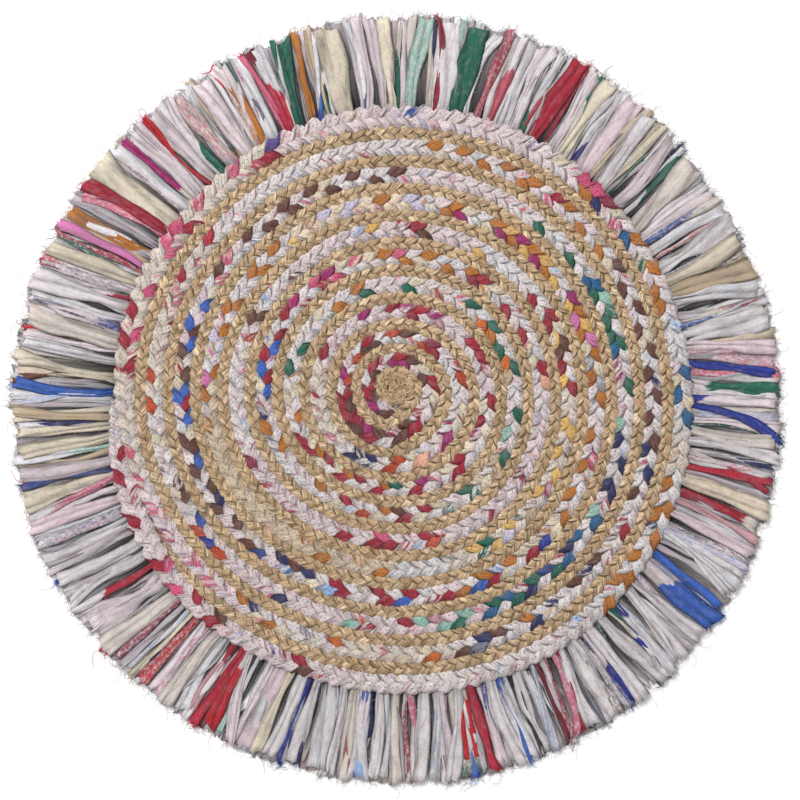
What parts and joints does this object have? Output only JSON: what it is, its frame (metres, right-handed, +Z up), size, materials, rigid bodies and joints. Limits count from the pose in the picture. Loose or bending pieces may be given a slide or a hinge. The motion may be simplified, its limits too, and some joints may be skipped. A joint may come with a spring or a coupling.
{
  "type": "round braided rug with rag fringe",
  "caption": "Round flat rug wound from a jute plait and a cotton rag plait in one double spiral, with rag strips fanning out round the rim.",
  "frame": {"origin": "centre of the rug's box, on the floor under it", "axes": "+Z up through the flat rug, +Y towards the top of the picture, +X to its right"},
  "size_m": [0.8994, 0.9036, 0.0086],
  "materials": {
    "jute": "natural jute fibre, plaited, matt with a slight silky streak",
    "cotton_rag": "plaited cotton rag strips, off-white with many dyed pieces, matt",
    "fringe_rag": "loose cut cotton rag strips, creased, with frayed edges, matt"
  },
  "bodies": {
    "root": {"jute_braid": "jute", "rag_braid": "cotton_rag", "fringe": "fringe_rag"}
  },
  "joints": []
}
